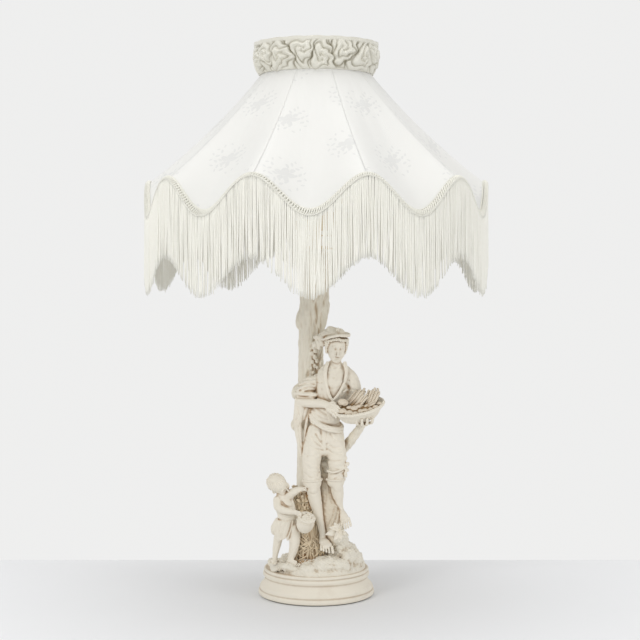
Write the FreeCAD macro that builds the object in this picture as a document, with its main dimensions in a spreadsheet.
"""Figural table lamp: a bisque group of a boy and a child by a tree trunk on a turned plinth,
with a wire harp, a keyed lampholder and a ten-panel fringed shade.

Millimetres. +Z is up and -Y is the front. The origin is on the floor under the lamp's rod.
"""
import FreeCAD, Part
import math
import os

import Sketcher
from FreeCAD import Matrix, Placement, Rotation, Vector

doc = FreeCAD.newDocument("figural_table_lamp")
sheet = doc.addObject("Spreadsheet::Sheet", "Sizes")

SIZES = {
    # felt and turned plinth
    "felt_thickness": 1.5,
    "felt_inset": 3.0,
    "plinth_foot_radius": 83.0,
    "plinth_foot_height": 7.0,
    "plinth_ovolo_height": 11.5,
    "plinth_neck_inset": 10.5,
    "plinth_neck_height": 8.5,
    "plinth_bead_inset": 7.0,
    "plinth_bead_height": 6.5,
    "plinth_fillet_height": 3.5,
    "plinth_wall": 7.0,
    # cord outlet in the back of the plinth
    "cord_bush_bore": 7.4,
    "cord_bush_wall": 1.5,
    "cord_bush_flange": 1.5,
    "cord_bush_lip": 2.0,
    "cord_bush_reach": 15.0,
    "cord_outlet_height": 15.3,
    # the bisque group, from the plinth up to the trunk's top
    "group_height": 459.5,
    "trunk_wall": 5.0,
    "cloth_thickness": 2.0,
    "basket_length": 74.0,
    "basket_depth": 44.0,
    "basket_rise": 21.0,
    "basket_wall": 3.0,
    # rod and its nuts
    "rod_radius": 5.0,
    "rod_bore": 7.0,
    "hole_clearance": 0.5,
    "rod_tail": 12.0,
    "nut_across_flats": 17.0,
    "nut_height": 5.0,
    "washer_radius": 16.0,
    "washer_thickness": 2.0,
    "cap_radius": 24.0,
    "cap_rise": 5.0,
    "neck_radius": 8.0,
    "neck_height": 14.0,
    # harp and shade carrier
    "saddle_span": 52.0,
    "saddle_width": 11.0,
    "saddle_thickness": 2.0,
    "saddle_post_height": 14.0,
    "harp_wire": 4.0,
    "harp_height": 236.0,
    "harp_bow": 58.0,
    "sleeve_wall": 1.2,
    "sleeve_height": 13.0,
    "sleeve_travel": 9.0,
    "running_gap": 0.3,
    "stud_radius": 3.2,
    "stud_height": 12.0,
    "harp_plate_radius": 8.0,
    "harp_plate_thickness": 2.0,
    "shade_washer_thickness": 1.0,
    "finial_radius": 7.0,
    "finial_height": 17.0,
    # lampholder and bulb
    "holder_radius": 18.0,
    "holder_cap_height": 20.0,
    "holder_shell_height": 42.0,
    "holder_wall": 1.0,
    "holder_lap": 6.0,
    "core_radius": 15.0,
    "core_height": 17.0,
    "contact_radius": 5.0,
    "contact_height": 2.0,
    "thread_wall": 0.5,
    "knob_radius": 6.0,
    "knob_length": 11.0,
    "knob_stem_radius": 2.0,
    "knob_reach": 5.0,
    "bulb_radius": 30.0,
    "bulb_glass_height": 79.0,
    "bulb_cap_radius": 13.0,
    "bulb_cap_height": 25.0,
    "bulb_tip_height": 3.0,
    # shade
    "shade_wire": 3.0,
    "collar_ring_radius": 79.0,
    "hub_radius": 12.0,
    "spider_drop": 26.5,
    "spider_arms": 4,
    "collar_height": 36.0,
    "rib_drop": 159.0,
    "hem_radius": 245.5,
    "hem_wave": 26.0,
    "hem_steps": 8,
    "panel_count": 10,
    "panel_sag": 6.0,
    "cover_thickness": 0.8,
    "wire_clearance": 0.4,
    "lining_gap": 1.6,
    "lining_thickness": 0.6,
    "gimp_height": 9.0,
    "gimp_thickness": 1.6,
    "fringe_length": 108.0,
    "fringe_thickness": 2.4,
    "ruche_flare": 5.0,
    "ruche_thickness": 5.0,
    "ruche_height": 47.0,
    "ruche_folds": 26,
}
for row, (alias, value) in enumerate(SIZES.items(), 1):
    sheet.set(f"A{row}", alias)
    sheet.set(f"B{row}", str(value))
    sheet.setAlias(f"B{row}", alias)
doc.recompute()

# The scallop that faces the front is a little to its left.
SHADE_TURN = math.radians(18 + 2)


def number(expression):
    """What an expression of the sheet's sizes comes to."""
    return float(sheet.evalExpression(expression))


def size(alias):
    return float(sheet.get(alias))


def bound(expression):
    """The expression with each size pointed at the sheet, as another object needs it."""
    words = expression.replace("(", "( ").replace(")", " )").split(" ")
    return " ".join("Sizes." + word if word in SIZES else word for word in words)


# ---------------------------------------------------------------- turned and cut pieces
def origin_part(body, role):
    return next(part for part in body.Origin.OriginFeatures if part.Role == role)


def sketch_on(body, name, plane="XZ_Plane"):
    sketch = body.newObject("Sketcher::SketchObject", name)
    sketch.AttachmentSupport = [(origin_part(body, plane), "")]
    sketch.MapMode = "FlatFace"
    return sketch


def pin_corner(sketch, edge, end, across, up):
    """Ties one end of an edge to the sheet: so far across from the axis, and so far up."""
    if across == "0":
        sketch.addConstraint(Sketcher.Constraint("PointOnObject", edge, end, -2))
    else:
        index = sketch.addConstraint(Sketcher.Constraint("DistanceX", -1, 1, edge, end, number(across)))
        sketch.setExpression(f"Constraints[{index}]", bound(across))
    index = sketch.addConstraint(Sketcher.Constraint("DistanceY", -1, 1, edge, end, number(up)))
    sketch.setExpression(f"Constraints[{index}]", bound(up))


def outline(sketch, corners):
    """A closed outline of straight edges through corners of (across, up)."""
    places = [Vector(number(across), number(up), 0) for across, up in corners]
    edges = [
        sketch.addGeometry(Part.LineSegment(places[index], places[(index + 1) % len(places)]), False)
        for index in range(len(places))
    ]
    for index, edge in enumerate(edges):
        sketch.addConstraint(Sketcher.Constraint("Coincident", edges[index - 1], 2, edge, 1))
        pin_corner(sketch, edge, 1, *corners[index])


def turned(label, corners):
    """A body turned about the lamp's axis from an outline of (radius, height)."""
    body = doc.addObject("PartDesign::Body", label)
    sketch = sketch_on(body, label + "_profile")
    outline(sketch, corners)
    turning = body.newObject("PartDesign::Revolution", label + "_turning")
    turning.Profile = sketch
    turning.ReferenceAxis = (sketch, ["V_Axis"])
    turning.Angle = 360
    body.Tip = turning
    return body


def side_hole(body, up, radius, reach, front=False):
    """Drills a round hole from the axis out through the back of a turned body, or through its front."""
    sketch = sketch_on(body, body.Label + "_side_hole")
    circle = sketch.addGeometry(Part.Circle(Vector(0, 0, 0), Vector(0, 0, 1), 1), False)
    sketch.addConstraint(Sketcher.Constraint("PointOnObject", circle, 3, -2))
    index = sketch.addConstraint(Sketcher.Constraint("DistanceY", -1, 1, circle, 3, 1))
    sketch.setExpression(f"Constraints[{index}]", bound(up))
    index = sketch.addConstraint(Sketcher.Constraint("Radius", circle, 1))
    sketch.setExpression(f"Constraints[{index}]", bound(radius))
    doc.recompute()
    before = body.Shape.Volume
    hole = body.newObject("PartDesign::Pocket", body.Label + "_side_hole_cut")
    hole.Profile = sketch
    hole.Reversed = front
    hole.setExpression("Length", bound(reach))
    body.Tip = hole
    doc.recompute()
    print(body.Label, "side hole takes", round(before - body.Shape.Volume), "mm3")


def placed(piece, **heights):
    """Binds a piece's Placement to the sheet: x, y and z are expressions."""
    for axis, expression in heights.items():
        piece.setExpression(f"Placement.Base.{axis}", bound(expression))
    return piece


PLINTH_TOP = (
    "( felt_thickness + plinth_foot_height + plinth_ovolo_height + plinth_neck_height"
    " + plinth_bead_height + plinth_fillet_height )"
)
OVOLO_BASE = "( felt_thickness + plinth_foot_height )"
NECK_BASE = "( felt_thickness + plinth_foot_height + plinth_ovolo_height )"
BEAD_BASE = "( felt_thickness + plinth_foot_height + plinth_ovolo_height + plinth_neck_height )"
FILLET_BASE = f"( {BEAD_BASE} + plinth_bead_height )"
NECK_RADIUS = "( plinth_foot_radius - plinth_neck_inset )"
BEAD_RADIUS = "( plinth_foot_radius - plinth_bead_inset )"
ROD_HOLE = "( rod_radius + hole_clearance )"
TRUNK_TOP = f"( {PLINTH_TOP} + group_height )"
CAP_TOP = f"( {TRUNK_TOP} + cap_rise )"
NECK_TOP = f"( {CAP_TOP} + neck_height )"
SADDLE_TOP = f"( {NECK_TOP} + saddle_thickness )"
ROD_TOP = f"( {SADDLE_TOP} + 8 )"
POST_TOP = f"( {SADDLE_TOP} + saddle_post_height )"
HOLDER_CAP_TOP = f"( {SADDLE_TOP} + holder_cap_height )"
SHELL_BASE = f"( {HOLDER_CAP_TOP} - holder_lap )"
SHELL_TOP = f"( {HOLDER_CAP_TOP} + holder_shell_height )"
CORE_TOP = f"( {HOLDER_CAP_TOP} + core_height )"
KEY_HEIGHT = f"( {HOLDER_CAP_TOP} + core_height / 2 )"
BULB_TIP = f"( {CORE_TOP} + contact_height )"
BULB_CAP_BASE = f"( {BULB_TIP} + bulb_tip_height )"
GLASS_BASE = f"( {BULB_CAP_BASE} + bulb_cap_height )"
HARP_TOP = f"( {SADDLE_TOP} + harp_height )"
WASHER_TOP = f"( {HARP_TOP} + harp_plate_thickness + shade_washer_thickness )"
HUB_TOP = f"( {WASHER_TOP} + shade_wire / 2 )"
TOP_RING = f"( {HUB_TOP} + spider_drop )"
COLLAR_RING = f"( {TOP_RING} - collar_height )"


def make_felt():
    turned(
        "felt_pad",
        [
            ("0", "0"),
            ("plinth_foot_radius - felt_inset", "0"),
            ("plinth_foot_radius - felt_inset", "felt_thickness"),
            ("0", "felt_thickness"),
        ],
    )


def make_plinth():
    """Foot, ovolo, hollow neck, bead and fillet outside; a cast hollow inside; a hole for the cord bush."""
    plinth = turned(
        "plinth",
        [
            ("plinth_foot_radius", "felt_thickness"),
            ("plinth_foot_radius", OVOLO_BASE),
            ("plinth_foot_radius - 1.5", OVOLO_BASE),
            (NECK_RADIUS, NECK_BASE),
            (NECK_RADIUS, BEAD_BASE),
            (BEAD_RADIUS, BEAD_BASE),
            (BEAD_RADIUS, FILLET_BASE),
            (f"{BEAD_RADIUS} - 2.4", FILLET_BASE),
            (f"{BEAD_RADIUS} - 2.4", PLINTH_TOP),
            (ROD_HOLE, PLINTH_TOP),
            (ROD_HOLE, f"{PLINTH_TOP} - plinth_wall"),
            (f"{NECK_RADIUS} - plinth_wall", f"{PLINTH_TOP} - plinth_wall"),
            (f"{NECK_RADIUS} - plinth_wall", "felt_thickness"),
        ],
    )
    side_hole(plinth, "cord_outlet_height", "cord_bush_bore / 2 + cord_bush_wall", "plinth_foot_radius + 5")


def make_cord_bush():
    """A flanged bush, turned on its own axis and laid in the hole through the plinth's back."""
    bore, outside = "cord_bush_bore / 2", "( cord_bush_bore / 2 + cord_bush_wall )"
    flange = f"( {outside} + cord_bush_flange )"
    bush = turned(
        "cord_bush",
        [
            (bore, "0"),
            (outside, "0"),
            (outside, "cord_bush_reach"),
            (flange, "cord_bush_reach"),
            (flange, "cord_bush_reach + cord_bush_lip"),
            (bore, "cord_bush_reach + cord_bush_lip"),
        ],
    )
    bush.Placement = Placement(Vector(0, 0, 0), Rotation(Vector(1, 0, 0), -90))
    placed(bush, y="plinth_foot_radius - 0.9 - cord_bush_reach", z="cord_outlet_height")


def make_rod_and_fasteners():
    """The threaded tube that ties the plinth to the lampholder, with its nuts, washer and brass cap."""
    rod = turned(
        "threaded_rod",
        [
            ("rod_bore / 2", f"{PLINTH_TOP} - plinth_wall - rod_tail"),
            ("rod_radius", f"{PLINTH_TOP} - plinth_wall - rod_tail"),
            ("rod_radius", ROD_TOP),
            ("rod_bore / 2", ROD_TOP),
        ],
    )
    turned(
        "base_washer",
        [
            ("rod_radius", f"{PLINTH_TOP} - plinth_wall - washer_thickness"),
            ("washer_radius", f"{PLINTH_TOP} - plinth_wall - washer_thickness"),
            ("washer_radius", f"{PLINTH_TOP} - plinth_wall"),
            ("rod_radius", f"{PLINTH_TOP} - plinth_wall"),
        ],
    )
    turned(
        "trunk_cap",
        [
            ("rod_radius", TRUNK_TOP),
            ("cap_radius", TRUNK_TOP),
            ("cap_radius", f"{TRUNK_TOP} + cap_rise / 2"),
            ("cap_radius * 0.7", f"{TRUNK_TOP} + cap_rise / 2"),
            ("cap_radius * 0.7", CAP_TOP),
            ("rod_radius", CAP_TOP),
        ],
    )
    turned(
        "neck_spacer",
        [
            ("rod_radius", CAP_TOP),
            ("neck_radius", CAP_TOP),
            ("neck_radius", NECK_TOP),
            ("rod_radius", NECK_TOP),
        ],
    )
    return rod


def make_base_nut():
    """A hexagonal nut run up the rod against the washer."""
    nut = doc.addObject("Part::Prism", "base_nut_blank")
    nut.Polygon = 6
    nut.setExpression("Circumradius", bound("nut_across_flats / 1.7320508"))
    nut.setExpression("Height", bound("nut_height"))
    hole = doc.addObject("Part::Cylinder", "base_nut_hole")
    hole.setExpression("Radius", bound("rod_radius"))
    hole.setExpression("Height", bound("nut_height"))
    cut = doc.addObject("Part::Cut", "base_nut")
    cut.Base, cut.Tool = nut, hole
    placed(cut, z=f"{PLINTH_TOP} - plinth_wall - washer_thickness - nut_height")


def primitive(kind, label, place=None, **sizes):
    """A Part primitive whose sizes and place are expressions of the sheet."""
    piece = doc.addObject(kind, label)
    for name, expression in sizes.items():
        piece.setExpression(name, bound(expression))
    return placed(piece, **(place or {}))


def joined(label, *pieces):
    fuse = doc.addObject("Part::MultiFuse", label)
    fuse.Shapes = list(pieces)
    return fuse


def cut_from(label, base, tool):
    cut = doc.addObject("Part::Cut", label)
    cut.Base, cut.Tool = base, tool
    return cut


def shaped(label, shape):
    """A piece made straight from a shape."""
    piece = doc.addObject("Part::Feature", label)
    piece.Shape = shape
    return piece


def turns(count, start=0.0):
    """Equal steps of angle once round."""
    return [2 * math.pi * (step + start) / count for step in range(count)]


def flat_faces(corners):
    """One face over three or four corners, or two where the four don't lie in a plane."""
    corners = [corner for i, corner in enumerate(corners) if corner.distanceToPoint(corners[i - 1]) > 1e-6]
    if len(corners) < 3:
        return []
    if len(corners) == 4:
        a, b, c, d = corners
        normal = (b - a).cross(c - a)
        if normal.Length < 1e-9 or abs((d - a).dot(normal.normalize())) > 1e-7:
            return flat_faces([a, b, c]) + flat_faces([a, c, d])
    return [Part.Face(Part.makePolygon([*corners, corners[0]]))]


def skin(rings, closed=False, swapped_from=None):
    """A solid whose surface runs over rings of as many points each; closed makes it end where it starts.

    From the point swapped_from on, a cell that isn't flat is parted along its other diagonal.
    """
    count, faces = len(rings[0]), []
    pairs = list(zip(rings, rings[1:]))
    if closed:
        pairs.append((rings[-1], rings[0]))
    for first, second in pairs:
        for k in range(count):
            after = (k + 1) % count
            cell = [first[k], first[after], second[after], second[k]]
            if swapped_from is not None and k >= swapped_from:
                cell = cell[1:] + cell[:1]
            faces += flat_faces(cell)
    if not closed:
        for ring in (rings[0], rings[-1]):
            for k in range((count - 1) // 2):
                faces += flat_faces([ring[k], ring[k + 1], ring[count - 2 - k], ring[count - 1 - k]])
    shell = Part.Shell(faces)
    shell.sewShape()
    solid = Part.Solid(shell)
    if solid.Volume < 0:
        solid.reverse()
    return solid


def tube(path, radius, sides, closed=False):
    """A wire of round stock along a path, drawn with flat sides."""
    rings, count = [], len(path)
    across = None
    for index, point in enumerate(path):
        before = path[index - 1] if closed or index else point
        after = path[(index + 1) % count] if closed or index < count - 1 else point
        along = (after - before).normalize()
        if across is None:
            across = along.cross(Vector(0.11, 0.97, 0.2)).normalize()
        across = (across - along * across.dot(along)).normalize()
        other = along.cross(across)
        rings.append(
            [point + across * radius * math.cos(turn) + other * radius * math.sin(turn) for turn in turns(sides)]
        )
    return skin(rings, closed)


def trimmed(shape, *neighbours):
    """What is left of a shape once its neighbours are cut away: its largest piece."""
    rest = shape.cut(list(neighbours))
    return max(rest.Solids, key=lambda solid: solid.Volume)


# ---------------------------------------------------------------- harp and what it carries
def make_saddle():
    """A flat strip held on the rod, with a round post at each end for the harp's legs."""
    strip = primitive(
        "Part::Box",
        "saddle_strip",
        {"x": "0 - saddle_span / 2 - 4", "y": "0 - saddle_width / 2", "z": NECK_TOP},
        Length="saddle_span + 8",
        Width="saddle_width",
        Height="saddle_thickness",
    )
    posts = [
        primitive(
            "Part::Cylinder",
            f"saddle_post_{name}",
            {"x": f"{sign} * saddle_span / 2", "z": NECK_TOP},
            Radius="harp_wire / 2",
            Height="saddle_thickness + saddle_post_height",
        )
        for name, sign in (("left", -1), ("right", 1))
    ]
    hole = primitive(
        "Part::Cylinder", "saddle_hole", {"z": NECK_TOP}, Radius="rod_radius", Height="saddle_thickness"
    )
    cut_from("harp_saddle", joined("saddle_blank", strip, *posts), hole)


def make_harp():
    """One bent wire from post to post, with a plate and a threaded stud on top."""
    leg, bow, wire = size("saddle_span") / 2, size("harp_bow"), size("harp_wire") / 2
    foot, top = number(POST_TOP), number(HARP_TOP)
    straight = foot + size("sleeve_travel") + size("sleeve_height") / 2
    rise = top - wire * 0.8 - straight
    half = [(0.5, 0.03), (0.78, 0.17), (0.95, 0.36), (1.0, 0.54), (0.9, 0.73), (0.66, 0.88), (0.34, 0.97)]
    left = [Vector(-leg, 0, foot), Vector(-leg, 0, straight)]
    left += [Vector(-bow * out, 0, straight + rise * up) for out, up in half]
    right = [Vector(-point.x, 0, point.z) for point in reversed(left)]
    path = left + [Vector(0, 0, straight + rise)] + right
    plate = Part.makeCylinder(size("harp_plate_radius"), size("harp_plate_thickness"), Vector(0, 0, top))
    reach = size("harp_plate_thickness") + size("stud_height")
    stud = Part.makeCylinder(size("stud_radius"), reach, Vector(0, 0, top))
    shaped("harp", tube(path, wire, 8).fuse([plate, stud]))


def make_sleeves():
    """Two loose tubes that lock the harp's legs to the posts and slide up to free them."""
    for name, sign in (("left", -1), ("right", 1)):
        inside = "( harp_wire / 2 + running_gap )"
        sleeve = turned(
            f"harp_sleeve_{name}",
            [
                (inside, "0"),
                (f"{inside} + sleeve_wall", "0"),
                (f"{inside} + sleeve_wall", "sleeve_height"),
                (inside, "sleeve_height"),
            ],
        )
        placed(sleeve, x=f"{sign} * saddle_span / 2", z=f"{POST_TOP} - sleeve_height / 2")


def make_shade_washer_and_finial():
    turned(
        "shade_washer",
        [
            ("stud_radius + running_gap", f"{HARP_TOP} + harp_plate_thickness"),
            ("hub_radius - 2", f"{HARP_TOP} + harp_plate_thickness"),
            ("hub_radius - 2", WASHER_TOP),
            ("stud_radius + running_gap", WASHER_TOP),
        ],
    )
    base, wide, high = number(HUB_TOP), size("finial_radius"), size("finial_height")
    rings = [
        [Vector(wide * share * math.cos(turn), wide * share * math.sin(turn), base + high * level) for turn in turns(16)]
        for share, level in ((0.9, 0), (1, 0.05), (1, 0.16), (0.6, 0.28), (0.85, 0.45), (0.85, 0.7), (0.5, 0.93), (0.2, 1))
    ]
    thread = Part.makeCylinder(size("stud_radius") + size("running_gap"), high * 0.62, Vector(0, 0, base))
    shaped("finial", skin(rings).cut(thread))


# ---------------------------------------------------------------- lampholder and bulb
def make_holder():
    """Cap, shell, core with its contact, threaded sleeve and turn key."""
    inner = "( holder_radius - holder_wall )"
    turned(
        "holder_cap",
        [
            ("rod_radius", SADDLE_TOP),
            ("rod_radius + 3", SADDLE_TOP),
            ("rod_radius + 3", f"{SADDLE_TOP} + 6"),
            ("holder_radius", f"{SADDLE_TOP} + 6"),
            ("holder_radius", SHELL_BASE),
            (inner, SHELL_BASE),
            (inner, HOLDER_CAP_TOP),
            ("rod_radius", HOLDER_CAP_TOP),
        ],
    )
    shell = turned(
        "holder_shell",
        [
            (inner, SHELL_BASE),
            ("holder_radius", SHELL_BASE),
            ("holder_radius", SHELL_TOP),
            (inner, SHELL_TOP),
        ],
    )
    side_hole(shell, KEY_HEIGHT, "knob_stem_radius + hole_clearance", "holder_radius + 2", front=True)
    turned(
        "holder_core",
        [
            ("0", HOLDER_CAP_TOP),
            ("core_radius", HOLDER_CAP_TOP),
            ("core_radius", CORE_TOP),
            ("contact_radius", CORE_TOP),
            ("contact_radius", BULB_TIP),
            ("0", BULB_TIP),
        ],
    )
    inside = "( bulb_cap_radius + running_gap )"
    turned(
        "thread_sleeve",
        [
            (f"{inside} + thread_wall", CORE_TOP),
            (f"{inside} + thread_wall", f"{SHELL_TOP} - 1.5"),
            (inside, f"{SHELL_TOP} - 1.5"),
            (inside, CORE_TOP),
        ],
    )
    start = "( core_radius + running_gap )"
    knob_base = "( holder_radius + knob_reach )"
    knob = turned(
        "switch_key",
        [
            ("0", start),
            ("knob_stem_radius", start),
            ("knob_stem_radius", knob_base),
            ("knob_radius", knob_base),
            ("knob_radius", f"{knob_base} + knob_length"),
            ("0", f"{knob_base} + knob_length"),
        ],
    )
    knob.Placement = Placement(Vector(0, 0, 0), Rotation(Vector(1, 0, 0), 90))
    placed(knob, z=KEY_HEIGHT)


def make_bulb():
    """The cap with its solder tip, and the closed glass, turning together in the holder."""
    turned(
        "bulb_cap",
        [
            ("0", BULB_TIP),
            ("bulb_cap_radius * 0.35", BULB_TIP),
            ("bulb_cap_radius * 0.35", BULB_CAP_BASE),
            ("bulb_cap_radius", BULB_CAP_BASE),
            ("bulb_cap_radius", GLASS_BASE),
            ("0", GLASS_BASE),
        ],
    )
    wide, high, base = size("bulb_radius"), size("bulb_glass_height"), number(GLASS_BASE)
    profile = [(size("bulb_cap_radius") - 1, 0), (size("bulb_cap_radius") + 1, high * 0.14), (wide * 0.72, high * 0.36)]
    for angle in (-28, 0, 28, 56, 76):
        turn = math.radians(angle)
        profile.append((wide * math.cos(turn), high - wide + wide * math.sin(turn)))
    rings = [
        [Vector(radius * math.cos(turn), radius * math.sin(turn), base + level) for turn in turns(20)]
        for radius, level in profile
    ]
    shaped("bulb_glass", skin(rings))


# ---------------------------------------------------------------- shade
def shade_line(across, along):
    """Radius and height of the cover: across 0 to 1 from rib to rib, along 0 to 1 from collar to hem."""
    ring, hem, fall = size("collar_ring_radius"), size("hem_radius"), size("rib_drop")
    run = hem - ring
    length = math.hypot(run, fall)
    hollow = 4 * along * (1 - along)
    lobe = (1 - math.cos(2 * math.pi * across)) / 2
    half_turn = math.pi / size("panel_count")
    radius = ring + run * along - size("panel_sag") * hollow * fall / length
    flat = 1 - math.cos(half_turn) / math.cos(half_turn * (2 * across - 1))
    radius -= radius * flat * hollow
    height = number(COLLAR_RING) - fall * along - size("panel_sag") * hollow * run / length
    return radius, height - 2 * size("hem_wave") * lobe * along**3


def shade_point(panel, across, along, out=0.0, drop=0.0):
    """A point of the cover, moved out square to the ribs and then down."""
    radius, height = shade_line(across, along)
    run, fall = size("hem_radius") - size("collar_ring_radius"), size("rib_drop")
    length = math.hypot(run, fall)
    radius += out * fall / length
    height += out * run / length
    turn = 2 * math.pi * (panel + across) / size("panel_count") - math.pi / 2 - SHADE_TURN
    return Vector(radius * math.cos(turn), radius * math.sin(turn), height - drop)


def panel_slab(panel, levels, near, far, columns):
    """A panel between two distances from the cover, through levels that may change across the panel."""
    rings = []
    for row in range(len(levels(0.0))):
        ring = []
        for out, order in ((far, range(columns + 1)), (near, range(columns, -1, -1))):
            for column in order:
                across = column / columns
                ring.append(shade_point(panel, across, levels(across)[row], out))
        rings.append(ring)
    return skin(rings, swapped_from=columns + 1)


def braid_top(across):
    """How far down the cover the braid along the hem starts."""
    drop = shade_line(across, 0.0)[1] - shade_line(across, 1.0)[1]
    run = size("hem_radius") - size("collar_ring_radius")
    return 1.0 - size("gimp_height") / math.hypot(run, drop)


def cover_levels(across):
    return [0.0, 0.5, braid_top(across), 1.0]


def lining_levels(across):
    return [0.0, 0.5, 1.0]


def braid_levels(across):
    return [braid_top(across), 1.0]


def fringe_slab(panel, columns):
    """The fringe under one scallop: a curved sheet that hangs straight down from the hem."""
    rings = []
    for drop in (0.0, size("fringe_length")):
        ring = []
        for out, order in ((size("fringe_thickness"), range(columns + 1)), (0.0, range(columns, -1, -1))):
            for column in order:
                point = shade_point(panel, column / columns, 1.0, 0.0, drop)
                ring.append(point + Vector(point.x, point.y, 0).normalize() * out)
        rings.append(ring)
    return skin(rings)


def make_cover():
    """Ten panels of cover and of lining, a braid along each scallop and the fringe that it carries."""
    cover, braid = size("cover_thickness"), size("gimp_thickness")
    back = -size("shade_wire") - size("lining_gap")
    columns, panels = int(size("hem_steps")), range(int(size("panel_count")))
    slabs = {
        "cover_panels": [panel_slab(panel, cover_levels, 0.0, cover, columns) for panel in panels],
        "lining_panels": [
            panel_slab(panel, lining_levels, back - size("lining_thickness"), back, columns - 2) for panel in panels
        ],
        "gimp_braid": [panel_slab(panel, braid_levels, cover, cover + braid, columns) for panel in panels],
        "fringe": [fringe_slab(panel, columns) for panel in panels],
    }
    for name, solids in slabs.items():
        shaped(name, Part.makeCompound(solids))


def make_shade_frame():
    """Hub, arms and uprights, the two rings, a rib at each seam and the waved hem wire."""
    wire = size("shade_wire") / 2
    ring = size("collar_ring_radius") - wire
    top, collar = number(TOP_RING), number(COLLAR_RING)
    low = number(HUB_TOP)
    seat = Vector(0, 0, number(WASHER_TOP))
    hub = Part.makeCylinder(size("hub_radius"), low - seat.z, seat)
    hub = hub.cut(Part.makeCylinder(size("stud_radius") + size("running_gap"), low - seat.z, seat))
    rings = []
    for level in (top, collar):
        circle = [Vector(ring * math.cos(turn), ring * math.sin(turn), level) for turn in turns(28)]
        rings.append(tube(circle, wire, 6, closed=True))
    shaped("top_ring", rings[0])
    shaped("collar_ring", rings[1])
    parts = [hub]
    for turn in turns(int(size("spider_arms")), 0.5):
        out = Vector(math.cos(turn), math.sin(turn), 0)
        path = [
            out * (size("hub_radius") - 1) + Vector(0, 0, low),
            out * (ring * 0.5) + Vector(0, 0, low),
            out * (ring * 0.85) + Vector(0, 0, low + (top - low) * 0.6),
            out * ring + Vector(0, 0, top),
        ]
        parts.append(trimmed(tube(path, wire, 6), hub, rings[0]))
        post = tube([out * ring + Vector(0, 0, collar), out * ring + Vector(0, 0, top)], wire, 6)
        parts.append(trimmed(post, *rings))
    shaped("shade_fitter", Part.makeCompound(parts))
    panels, steps = int(size("panel_count")), int(size("hem_steps"))
    under = -wire - size("wire_clearance")
    waves = [shade_point(panel, step / steps, 1.0, under) for panel in range(panels) for step in range(steps)]
    hem = tube(waves, wire, 4, closed=True)
    shaped("hem_wire", hem)
    run = size("hem_radius") - size("collar_ring_radius")
    levels = cover_levels(0.0)[:-1] + [1 - 0.6 * wire / math.hypot(run, size("rib_drop"))]
    ribs = []
    for panel in range(panels):
        rib = tube([shade_point(panel, 0.0, along, under) for along in levels], wire, 4)
        ribs.append(trimmed(rib, rings[1], hem))
    shaped("rib_wires", Part.makeCompound(ribs))


def make_ruche():
    """The gathered collar: a flared ring of upright folds round the top of the shade."""
    folds, steps = int(size("ruche_folds")), 2
    base, tall = number(COLLAR_RING) - size("shade_wire") / 2, size("ruche_height")
    inner = size("collar_ring_radius") + 1.2
    sections = []
    for step, turn in enumerate(turns(folds * steps)):
        out = Vector(math.cos(turn), math.sin(turn), 0)
        fold = 1 if step % steps == 0 else -1
        section = []
        for share, swell in ((0.0, 0.6), (0.35, 1.4), (0.75, 1.0), (1.0, 1.8)):
            reach = inner + size("ruche_flare") * share + size("ruche_thickness") + swell * fold
            section.append(out * reach + Vector(0, 0, base + tall * share))
        section.append(out * (inner + size("ruche_flare")) + Vector(0, 0, base + tall))
        section.append(out * inner + Vector(0, 0, base + size("shade_wire") * 0.8))
        sections.append(section)
    shaped("collar_ruche", skin(sections, closed=True))


# ---------------------------------------------------------------- bisque group
# The stations below are in millimetres, for a group of this height on a plinth top of this level.
DRAWN_HEIGHT = 459.5
DRAWN_BASE = 38.5
SCALE = size("group_height") / DRAWN_HEIGHT
group = {}


def drawn(x, y, z):
    """A place in the group, at the group's own size."""
    return Vector(x, y, z - DRAWN_BASE) * SCALE + Vector(0, 0, number(PLINTH_TOP))


def oval(centre, across, deep, width, depth, sides):
    """Points round an ellipse of two half widths, already at the group's size."""
    return [
        centre + across * width * SCALE * math.cos(turn) + deep * depth * SCALE * math.sin(turn)
        for turn in turns(sides)
    ]


def limb(stations, upright=False, sides=12, round_ends=True, grow=0.0):
    """A rounded form through stations of (x, y, z, half width, half depth)."""
    places = [drawn(*station[:3]) for station in stations]
    rings = []
    for index, station in enumerate(stations):
        before, after = places[max(index - 1, 0)], places[min(index + 1, len(places) - 1)]
        along = Vector(0, 0, math.copysign(1, after.z - before.z)) if upright else (after - before).normalize()
        deep = (Vector(0, 1, 0) - along * along.y).normalize()
        across = deep.cross(along)
        width, depth = station[3] + grow, station[4] + grow
        rings.append(oval(places[index], across, deep, width, depth, sides))
        if round_ends and index in (0, len(stations) - 1):
            outward = along * (-1 if index == 0 else 1) * min(width, depth) * SCALE
            cap = oval(places[index] + outward * 0.55, across, deep, width * 0.66, depth * 0.66, sides)
            rings.insert(0 if index == 0 else len(rings), cap)
    return skin(rings)


def ball(x, y, z, wide, deep, high, yaw=0.0, pitch=0.0, roll=0.0, sides=12):
    """An egg form with its own half sizes, turned in degrees."""
    turning = Rotation(yaw, pitch, roll)
    rings = []
    for level in (-68, -36, 0, 36, 68):
        up, out = math.sin(math.radians(level)), math.cos(math.radians(level))
        ring = []
        for turn in turns(sides):
            point = Vector(wide * out * math.cos(turn), deep * out * math.sin(turn), high * up)
            ring.append(drawn(x, y, z) + turning.multVec(point) * SCALE)
        rings.append(ring)
    return skin(rings)


def grouped(name, shape, *neighbours):
    """Adds a piece of the group, cut back to the neighbours that it rests against."""
    group[name] = trimmed(shape, *(group[other] for other in neighbours)) if neighbours else shape
    return shaped(name, group[name])


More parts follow.
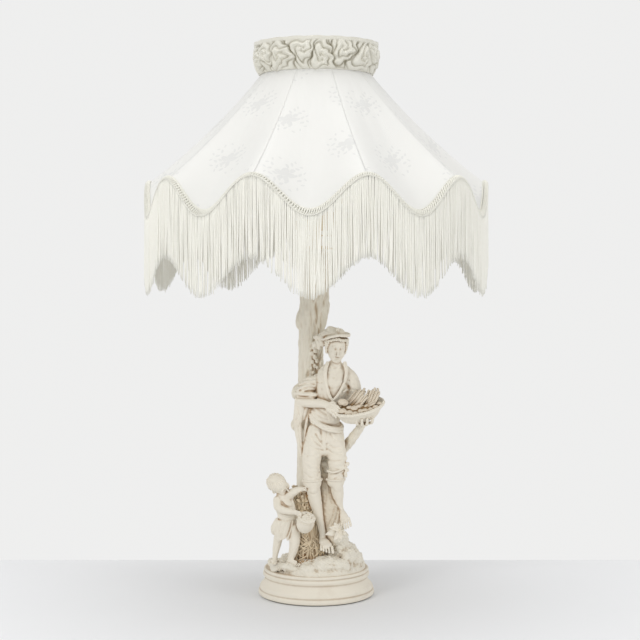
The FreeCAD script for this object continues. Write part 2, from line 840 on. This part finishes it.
def make_trunk_and_ground():
    """The hollow trunk, the mound round its foot, a rock and a side branch."""
    seat = (size("cap_radius") - 2) / SCALE
    stations = [
        (0, 4, 38.5, 33, 29),
        (-2, 5, 56, 28, 26),
        (-5, 6, 92, 24, 23),
        (-6, 6, 165, 23, 22),
        (-7, 6, 255, 21, 21),
        (-8, 6, 340, 18.5, 20),
        (-6, 6, 378, 20, 20),
        (-5, 5, 402, 22.5, 21),
        (-6, 5, 425, 20, 20),
        (-3, 2, 462, 20, 20),
        (0, 0, 486, seat, seat),
        (0, 0, 498, seat, seat),
    ]
    outer = limb(stations, upright=True, sides=14, round_ends=False)
    hollow = [(0, 4, 37.5, 33, 29), *stations[1:-2], (0, 0, 499.5, seat, seat)]
    inner = limb(hollow, upright=True, sides=8, round_ends=False, grow=-size("trunk_wall") / SCALE)
    low, high = number(PLINTH_TOP), number(TRUNK_TOP)
    bore = Part.makeCylinder(size("rod_radius") + 1.5, high - low + 2, Vector(0, 0, low - 1))
    grouped("tree_trunk", trimmed(outer, inner, bore))
    group["trunk_outside"] = outer
    mound = limb(
        [(0, 0, 38.5, 72, 72), (0, 0, 48, 71, 71), (0, -1, 56, 66, 66), (2, -2, 61, 57, 57), (4, -4, 66, 40, 40)],
        upright=True,
        sides=18,
        round_ends=False,
    )
    rock = limb(
        [(40, -24, 50, 26, 24), (38, -27, 74, 20, 20), (37, -29, 92, 15, 16), (37, -30, 104, 10, 13)],
        upright=True,
        sides=10,
        round_ends=False,
    )
    swells = [rock, ball(14, -52, 58, 20, 15, 10), ball(-34, -44, 50, 20, 14, 8)]
    grouped("ground_mound", mound.fuse(swells), "trunk_outside")
    branch = [(10, 2, 198, 8, 8), (30, -7, 206, 7.5, 7.5), (42, -14, 214, 7, 7), (55, -29, 232, 6.5, 6.5), (65, -41, 248, 6, 6)]
    grouped("side_branch", limb(branch, sides=10), "trunk_outside")


def make_basket():
    """An oval basket with a rolled rim, tipped towards the front, and what it holds."""
    long, wide, rise, wall = (size("basket_" + name) for name in ("length", "depth", "rise", "wall"))
    ahead = Vector(0.96, 0.176, 0.216).normalize()
    up = Vector(-0.18, -0.27, 0.95)
    up = (up - ahead * up.dot(ahead)).normalize()
    side = up.cross(ahead)
    base = drawn(64, -46.5, 258)

    def place(x, y, z):
        return base + ahead * x * SCALE + side * y * SCALE + up * z * SCALE

    def bowl(levels):
        rings = []
        for level, share, inset in levels:
            width, depth = long / 2 * share - inset, wide / 2 * share - inset
            rings.append(oval(place(0, 0, level), ahead, side, width, depth, 16))
        return skin(rings)

    outer = bowl([(0, 0.6, 0), (rise * 0.35, 0.85, 0), (rise - 4, 0.97, 0), (rise - 3.5, 1.06, 0), (rise, 1.06, 0)])
    inner = bowl([(wall, 0.6, wall), (rise * 0.4, 0.85, wall), (rise + 1, 1.0, wall)])
    filling = bowl([(wall + 0.1, 0.6, wall), (rise * 0.4, 0.85, wall), (rise * 0.7, 0.93, wall)])
    grouped("basket", outer.cut(inner), "side_branch")
    fruit = filling
    for x, y, z, radius in (
        (-25, 0, 19, 7), (-17, -9, 19, 7), (-14, 7, 21, 7.5), (-6, -2, 22, 7), (-7, -12, 18, 6), (-4, 11, 20, 6.5), (-27, 9, 16, 5.5)
    ):
        centre = place(x, y, z)
        fruit = fruit.fuse(
            skin(
                [
                    [
                        centre
                        + (ahead * math.cos(turn) + side * math.sin(turn)) * radius * SCALE * math.cos(level)
                        + up * radius * SCALE * math.sin(level)
                        for turn in turns(7)
                    ]
                    for level in (-1.1, -0.4, 0.4, 1.1)
                ]
            )
        )
    grouped("produce_round", fruit, "basket")
    stalks = None
    for x, y, z, run, lift, lean in (
        (2, -11, 15, 30, 9, -3), (3, -6, 17, 34, 13, -1), (1, -1, 19, 33, 17, 0), (3, 4, 18, 34, 14, 2),
        (2, 9, 17, 30, 12, 4), (0, 2, 22, 24, 20, -3), (4, -3, 20, 28, 19, 2),
    ):
        start, end = place(x, y, z), place(x + run, y + lean, z + lift)
        along = (end - start).normalize()
        across = along.cross(up).normalize()
        other = along.cross(across)
        stalk = skin([oval(start, across, other, 3.4, 3.4, 7), oval(end, across, other, 1.4, 1.4, 7)])
        stalks = stalk if stalks is None else stalks.fuse(stalk)
    grouped("produce_stalks", stalks, "basket", "produce_round")


def make_boy():
    """The standing figure: torso and clothes, head and hat, arms, breeches and legs."""
    torso = [
        (14, -31, 246, 18, 13), (15, -31, 262, 18, 13), (19, -33, 285, 20, 14), (24, -34, 305, 24, 15),
        (25, -33, 318, 23, 13), (27, -32, 327, 14, 10), (28, -33, 334, 8, 8), (28, -34, 345, 8, 8),
    ]
    grouped("boy_torso", limb(torso, upright=True, round_ends=False), "trunk_outside", "basket")
    cloth = size("cloth_thickness") / SCALE
    vest = limb(torso[1:6], upright=True, round_ends=False, grow=cloth)
    neckline = skin(
        [[drawn(8, y, 334), drawn(42, y, 334), drawn(26, y, 286), drawn(22, y, 286)] for y in (-80, -38)]
    )
    grouped("boy_waistcoat", vest.cut([group["boy_torso"], neckline]), "trunk_outside", "basket")
    hips = limb(
        [(14, -30, 252, 19, 14), (13, -30, 234, 23, 15), (13, -31, 220, 24, 15), (13, -31, 208, 20, 12)],
        upright=True,
    )
    thighs = [
        [(0, -31, 235, 13, 13), (-6, -33, 212, 14, 14), (-8, -34, 190, 13.5, 13.5), (-5.5, -35, 166, 13.5, 13.5)],
        [(26, -30, 235, 13, 13), (29, -31, 212, 14, 13), (29, -32, 190, 13, 12.5), (28, -33, 167, 12.5, 12)],
    ]
    breeches = hips.fuse([limb(thigh, upright=True, round_ends=False) for thigh in thighs])
    grouped("boy_breeches", breeches, "trunk_outside", "boy_torso", "side_branch")
    blouse = limb(
        [(14, -31, 264, 19, 14), (14, -31, 252, 22.5, 17), (14, -32, 243, 25, 18.5)], upright=True, round_ends=False
    )
    grouped("boy_blouse", blouse, "trunk_outside", "boy_torso", "boy_waistcoat", "boy_breeches")
    legs = {
        "boy_right_leg": (
            [(-4.5, -35, 170, 9.5, 10), (-4, -36, 158, 10, 10.5), (-1.5, -34, 142, 9.3, 10.5), (3, -35, 122, 7.5, 8.5),
             (8, -36, 103, 5.6, 6), (10, -37, 92, 5.4, 6.2), (10, -36, 82, 6, 7)],
            [(9, -32, 81, 5, 5), (11, -42, 78, 6.5, 5.5), (14, -51, 73, 8, 4), (16, -58, 70, 8, 2.8)],
        ),
        "boy_left_leg": (
            [(27.5, -32, 172, 8.5, 9), (29, -31, 160, 9.3, 9.5), (31.5, -28, 146, 9.5, 10), (34, -27, 130, 6.5, 7.5),
             (34, -27, 120, 5.2, 5.8), (34, -28, 112, 5.5, 6.5)],
            [(33, -26, 111, 5, 4.5), (37, -33, 110, 6, 5), (42, -41, 106, 6.5, 4), (45, -46, 103, 6, 2.5)],
        ),
    }
    for name, (leg, foot) in legs.items():
        whole = limb(leg, upright=True, sides=10).fuse(limb(foot, sides=10))
        grouped(name, whole, "boy_breeches", "trunk_outside", "ground_mound")
    arms = {
        "boy_right_arm": (
            [(5, -29, 318, 11, 11), (-4, -30, 306, 11.5, 11), (-13, -32, 296, 10.5, 10), (-19, -33, 288, 9, 9)],
            [(-19, -35, 285, 8, 8), (-8, -42, 283, 7.3, 7), (6, -50, 281, 6, 5.5), (15, -55, 279, 5, 4.5),
             (24, -59, 277, 7, 4.5), (31, -61, 275, 6, 3)],
        ),
        "boy_left_arm": (
            [(44, -29, 316, 10, 11), (50, -29, 303, 10.5, 10.5), (54, -29, 292, 9.5, 9.5), (56, -28, 283, 8.5, 8.5)],
            [(56, -29, 282, 7.5, 7.5), (60, -33, 270, 7, 7), (64, -40, 260, 6, 5.5), (67, -47, 255, 7, 4.5)],
        ),
    }
    for name, (upper, fore) in arms.items():
        whole = limb(upper, sides=10).fuse(limb(fore, sides=10))
        grouped(name, whole, "boy_torso", "boy_waistcoat", "trunk_outside", "basket", "produce_round", "side_branch")
    nose = ball(31.5, -56, 359, 2.2, 3.5, 3.5, sides=8)
    ears = [ball(28.5 + side * 14.5, -36, 359, 2.5, 3.5, 5, sides=8) for side in (-1, 1)]
    hair = ball(27, -30, 366, 15.5, 16, 16)
    head = ball(28.5, -38, 361, 14.5, 17.5, 21).fuse([nose, hair, *ears])
    grouped("boy_head", head, "boy_torso", "trunk_outside")
    crown = ball(23, -33, 379, 15, 16, 10, yaw=0, pitch=-8)
    brim = ball(29, -38, 373, 21, 20, 3, yaw=0, pitch=-8)
    flower = ball(33, -54, 382, 6, 4, 5, sides=8)
    grouped("boy_hat", crown.fuse([brim, flower]), "boy_head", "trunk_outside")
    knot = ball(43, -36, 187, 5, 5, 4.5, sides=8)
    tails = [ball(40, -40, 181, 2.5, 2.5, 8, sides=8), ball(46, -38, 181, 2.5, 2.5, 8, sides=8)]
    grouped("knee_bow", knot.fuse(tails), "boy_breeches")
    sleeve = limb([(-22, -20, 262, 7, 7), (-25, -22, 240, 7, 6), (-23, -23, 220, 6, 5), (-21, -24, 204, 4, 4)], upright=True)
    grouped("jacket_sleeve", sleeve, "trunk_outside", "boy_breeches", "boy_right_arm", "boy_torso")


def make_child():
    """The small figure in a tunic, with a pail, beside the sheaf."""
    tunic = [
        (-41, -38, 92, 17, 14), (-41, -38, 104, 14, 12), (-42, -38, 124, 12.5, 10.5), (-46, -38, 137, 13, 10),
        (-48, -38, 145, 8, 7), (-50, -39, 152, 5, 5),
    ]
    grouped("child_tunic", limb(tunic, upright=True, round_ends=False), "trunk_outside")
    head = ball(-55, -40, 163, 15.5, 15, 15).fuse([ball(-50, -53.5, 163, 2, 2.6, 2.4, sides=8), ball(-58, -34, 168, 14, 13, 12)])
    grouped("child_head", head, "child_tunic", "trunk_outside")
    arms = {
        "child_right_arm": [(-55, -42, 138, 6, 6), (-54, -49, 130, 5.5, 5.5), (-42, -54, 125, 5, 5), (-26, -55, 123, 4.5, 4)],
        "child_left_arm": [(-37, -42, 138, 6, 6), (-31, -46, 134, 5.5, 5), (-24, -50, 131, 4.5, 4.5)],
    }
    for name, stations in arms.items():
        grouped(name, limb(stations, sides=10), "child_tunic", "trunk_outside", *(["child_right_arm"] if "left" in name else []))
    legs = {
        "child_right_leg": (
            [(-51, -37, 96, 7, 7), (-54, -37, 84, 6.5, 6.5), (-57, -36, 68, 5, 5), (-58, -37, 59, 4.5, 5)],
            [(-57, -36, 57.5, 4.5, 3.5), (-60, -44, 56, 4.5, 2.6)],
        ),
        "child_left_leg": (
            [(-34, -41, 96, 8, 8), (-33, -44, 84, 7.5, 7.5), (-33, -46, 70, 5.5, 5.5), (-32, -47, 61, 5, 5)],
            [(-32, -47, 59, 4.5, 3.5), (-27, -54, 57, 4.5, 2.6)],
        ),
    }
    for name, (leg, foot) in legs.items():
        whole = limb(leg, upright=True, sides=10).fuse(limb(foot, sides=10))
        grouped(name, whole, "child_tunic", "ground_mound", "trunk_outside")
    drape = limb([(-56, -27, 112, 7, 8), (-62, -27, 98, 7, 8), (-63, -28, 84, 5, 6)], upright=True, sides=10)
    grouped("child_drape", drape, "child_tunic", "child_right_leg", "trunk_outside")
    axis = Vector(0.75, -0.45, -0.35).normalize()
    across = axis.cross(Vector(0, 0, 1)).normalize()
    other = axis.cross(across)
    middle = drawn(-15, -56, 117)
    outside = [oval(middle + axis * SCALE * step, across, other, radius, radius, 12) for step, radius in ((-9, 10), (9, 13))]
    inside = [oval(middle + axis * SCALE * step, across, other, radius, radius, 12) for step, radius in ((-6, 8), (10, 10.8))]
    grouped("pail", skin(outside).cut(skin(inside)), "child_right_arm", "child_left_arm", "trunk_outside")


def make_sheaf_and_leaves():
    sheaf = [(-13, -29, 54, 20, 13), (-13, -27, 90, 15, 11), (-15, -25, 120, 9, 8), (-18, -25, 148, 13, 10), (-20, -25, 166, 9, 8)]
    neighbours = ["trunk_outside", "ground_mound", "child_tunic", "child_head", "child_left_arm", "child_left_leg", "pail"]
    neighbours += ["boy_right_leg", "boy_breeches", "child_right_arm"]
    grouped("wheat_sheaf", limb(sheaf, upright=True), *neighbours)
    leaves = ball(24, -47, 90, 5, 5, 12, sides=6)
    for x, y, z, tilt in ((16, -50, 98, -50), (33, -50, 99, 45), (26, -52, 104, 5), (20, -52, 88, -70), (32, -51, 88, 70)):
        leaves = leaves.fuse(ball(x, y, z, 4, 2, 9, yaw=0, pitch=tilt, sides=6))
    grouped("leaf_spray", leaves, "ground_mound", "boy_right_leg", "boy_left_leg", "trunk_outside")
    cloth = limb([(22, -27, 128, 6, 5), (23, -30, 112, 9, 6), (25, -33, 98, 10, 8), (26, -36, 80, 10, 9)], upright=True, sides=10)
    neighbours = ["trunk_outside", "ground_mound", "boy_right_leg", "boy_left_leg", "leaf_spray"]
    grouped("fallen_cloth", cloth, *neighbours)


make_felt()
make_plinth()
make_cord_bush()
make_rod_and_fasteners()
make_base_nut()
make_saddle()
make_harp()
make_sleeves()
make_shade_washer_and_finial()
make_holder()
make_bulb()
make_cover()
make_shade_frame()
make_ruche()
make_trunk_and_ground()
make_basket()
make_boy()
make_child()
make_sheaf_and_leaves()
doc.recompute()

# ---------------------------------------------------------------- checks and files
NODES = [
    piece
    for piece in doc.Objects
    if piece.TypeId == "PartDesign::Body" or (piece.TypeId.startswith("Part::") and not piece.InList)
]
for piece in doc.Objects:
    faults = [word for word in piece.State if word in ("Invalid", "Error")]
    if faults:
        raise RuntimeError(f"{piece.Label} is {faults}")
for piece in NODES:
    if piece.Shape.isNull() or not piece.Shape.isValid():
        raise RuntimeError(f"{piece.Label} has no valid shape")
os.makedirs("parts", exist_ok=True)
for piece in NODES:
    piece.Shape.exportStep(f"parts/{piece.Label}.step")
print(len(NODES), "pieces written")
